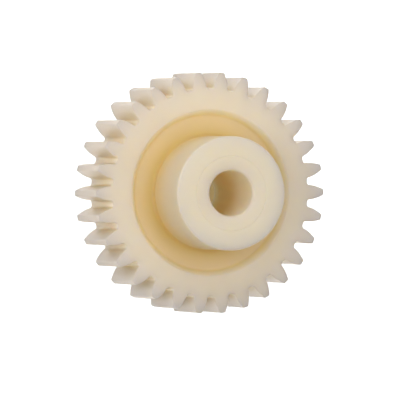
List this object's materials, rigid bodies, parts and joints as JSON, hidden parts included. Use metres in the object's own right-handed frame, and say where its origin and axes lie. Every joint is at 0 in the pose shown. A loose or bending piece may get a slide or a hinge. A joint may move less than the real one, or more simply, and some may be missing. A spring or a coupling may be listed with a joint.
{
  "type": "spur pinion gear",
  "caption": "Moulded plastic spur pinion with a hub on one side and a plain round bore, which sits on a shaft and drives a rack or another gear.",
  "frame": {"origin": "where the bore axis meets the back face, which is the face away from the hub", "axes": "+Z along the bore axis towards the hub, +X through the middle of a tooth"},
  "size_m": [0.032, 0.0318, 0.017],
  "materials": {
    "natural_acetal": "natural ivory, slightly translucent, satin as moulded"
  },
  "bodies": {
    "root": {"pinion_gear": "natural_acetal"}
  },
  "joints": []
}
